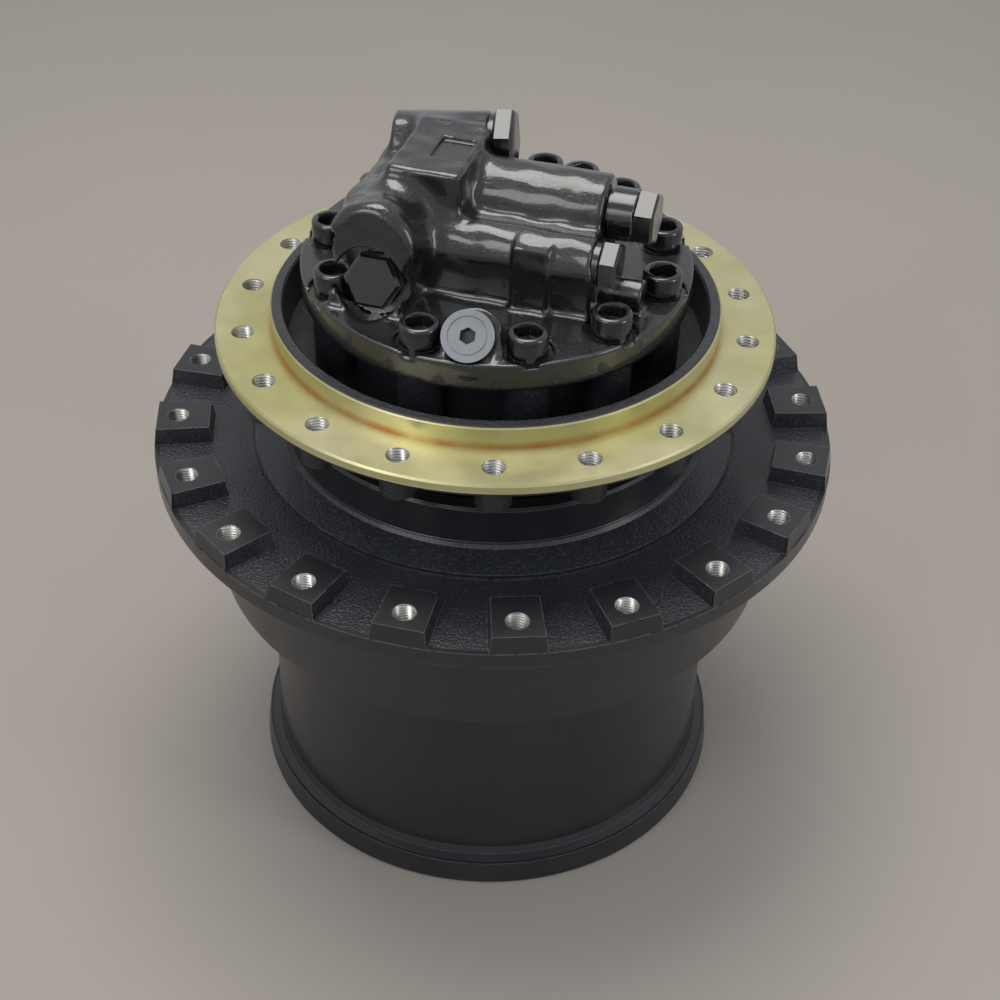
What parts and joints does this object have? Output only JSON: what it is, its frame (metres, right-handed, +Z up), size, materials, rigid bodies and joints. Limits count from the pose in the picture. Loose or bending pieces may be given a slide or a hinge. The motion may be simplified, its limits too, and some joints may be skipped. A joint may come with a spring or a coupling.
{
  "type": "excavator final drive",
  "caption": "Travel drive with a hydraulic motor, valve head, bolted frame flange and sprocket drum over a two-stage planetary reduction.",
  "frame": {"origin": "centre of the foot rim, on the surface the drive stands on", "axes": "+Z up along the output axis, from the end cover to the valve head"},
  "size_m": [0.5532, 0.5532, 0.5985],
  "materials": {
    "passivated_iron": "zinc passivated and machined flange on a black casting",
    "gloss_black": "wet gloss black paint over cast texture",
    "black_paint": "satin black paint",
    "black_steel": "black painted steel screws",
    "steel": "ground steel",
    "cast_parts": "bare casting",
    "bronze": "bronze bearing metal"
  },
  "bodies": {
    "housing": {"motor_housing": "passivated_iron", "output_carrier": "cast_parts", "output_planet_pins": "steel", "lower_inner_race": "steel", "upper_inner_race": "steel", "bearing_nut": "steel", "housing_seal_ring": "steel", "shaft_bearing": "steel", "swash_plate": "steel", "brake_plates": "steel", "brake_piston": "steel", "valve_plate": "bronze", "valve_head": "gloss_black", "valve_head_screws": "black_steel", "front_port_plug": "gloss_black", "rear_port_plug": "gloss_black", "disc_plug": "steel", "counterbalance_cap": "gloss_black", "shift_cap": "gloss_black"},
    "hub": {"sprocket_hub": "black_paint", "ring_gear": "black_paint", "end_cover": "black_paint", "hub_screws": "black_steel", "cover_plugs": "black_steel", "thrust_button": "bronze", "lower_outer_race": "steel", "upper_outer_race": "steel", "hub_seal_ring": "steel"},
    "lower_roller_row": {"lower_rollers": "steel"},
    "upper_roller_row": {"upper_rollers": "steel"},
    "first_carrier": {"input_carrier": "cast_parts", "input_planet_pins": "steel", "output_sun": "steel"},
    "motor_rotor": {"motor_shaft": "steel", "input_sun": "steel", "coupling_sleeve": "steel", "cylinder_block": "steel", "pistons": "steel", "brake_discs": "steel"},
    "slipper_set": {"slippers": "steel", "retainer_plate": "steel"},
    "counterbalance_spool_body": {"counterbalance_spool": "steel"},
    "shift_spool_body": {"shift_spool": "steel"},
    "output_planet_1_body": {"output_planet_1": "steel"},
    "input_planet_1_body": {"input_planet_1": "steel"},
    "output_planet_2_body": {"output_planet_2": "steel"},
    "input_planet_2_body": {"input_planet_2": "steel"},
    "output_planet_3_body": {"output_planet_3": "steel"},
    "input_planet_3_body": {"input_planet_3": "steel"}
  },
  "joints": [
    {"name": "hub_spin", "type": "hinge", "parent": "housing", "child": "hub", "pos_m": [0, 0, 0.3], "axis": [0, 0, 1], "continuous": true},
    {"name": "lower_rollers_spin", "type": "hinge", "parent": "housing", "child": "lower_roller_row", "pos_m": [0, 0, 0.266], "axis": [0, 0, 1], "continuous": true},
    {"name": "upper_rollers_spin", "type": "hinge", "parent": "housing", "child": "upper_roller_row", "pos_m": [0, 0, 0.336], "axis": [0, 0, 1], "continuous": true},
    {"name": "first_carrier_spin", "type": "hinge", "parent": "housing", "child": "first_carrier", "pos_m": [0, 0, 0.1], "axis": [0, 0, 1], "continuous": true},
    {"name": "rotor_spin", "type": "hinge", "parent": "housing", "child": "motor_rotor", "pos_m": [0, 0, 0.35], "axis": [0, 0, 1], "continuous": true},
    {"name": "slipper_spin", "type": "hinge", "parent": "housing", "child": "slipper_set", "pos_m": [0, 0, 0.326], "axis": [0, -0.0872, 0.9962], "continuous": true},
    {"name": "output_planet_1_spin", "type": "hinge", "parent": "housing", "child": "output_planet_1_body", "pos_m": [0.096, 0, 0.15], "axis": [0, 0, 1], "continuous": true},
    {"name": "input_planet_1_spin", "type": "hinge", "parent": "first_carrier", "child": "input_planet_1_body", "pos_m": [0.09, 0, 0.06], "axis": [0, 0, 1], "continuous": true},
    {"name": "output_planet_2_spin", "type": "hinge", "parent": "housing", "child": "output_planet_2_body", "pos_m": [-0.048, 0.08314, 0.15], "axis": [0, 0, 1], "continuous": true},
    {"name": "input_planet_2_spin", "type": "hinge", "parent": "first_carrier", "child": "input_planet_2_body", "pos_m": [-0.045, 0.07794, 0.06], "axis": [0, 0, 1], "continuous": true},
    {"name": "output_planet_3_spin", "type": "hinge", "parent": "housing", "child": "output_planet_3_body", "pos_m": [-0.048, -0.08314, 0.15], "axis": [0, 0, 1], "continuous": true},
    {"name": "input_planet_3_spin", "type": "hinge", "parent": "first_carrier", "child": "input_planet_3_body", "pos_m": [-0.045, -0.07794, 0.06], "axis": [0, 0, 1], "continuous": true},
    {"name": "counterbalance_spool_slide", "type": "slide", "parent": "housing", "child": "counterbalance_spool_body", "axis": [0.9613, -0.2756, 0], "range_m": [-0.006, 0.006]},
    {"name": "shift_spool_slide", "type": "slide", "parent": "housing", "child": "shift_spool_body", "axis": [0.9613, -0.2756, 0], "range_m": [-0.005, 0.005]}
  ],
  "couplings": [
    {"joint": "first_carrier_spin", "follows": "hub_spin", "ratio": -3.5714},
    {"joint": "rotor_spin", "follows": "hub_spin", "ratio": -26.429},
    {"joint": "slipper_spin", "follows": "hub_spin", "ratio": -26.429},
    {"joint": "lower_rollers_spin", "follows": "hub_spin", "ratio": 0.53416},
    {"joint": "upper_rollers_spin", "follows": "hub_spin", "ratio": 0.53416},
    {"joint": "output_planet_1_spin", "follows": "hub_spin", "ratio": 2.7778},
    {"joint": "input_planet_1_spin", "follows": "hub_spin", "ratio": 11.429},
    {"joint": "output_planet_2_spin", "follows": "hub_spin", "ratio": 2.7778},
    {"joint": "input_planet_2_spin", "follows": "hub_spin", "ratio": 11.429},
    {"joint": "output_planet_3_spin", "follows": "hub_spin", "ratio": 2.7778},
    {"joint": "input_planet_3_spin", "follows": "hub_spin", "ratio": 11.429}
  ]
}
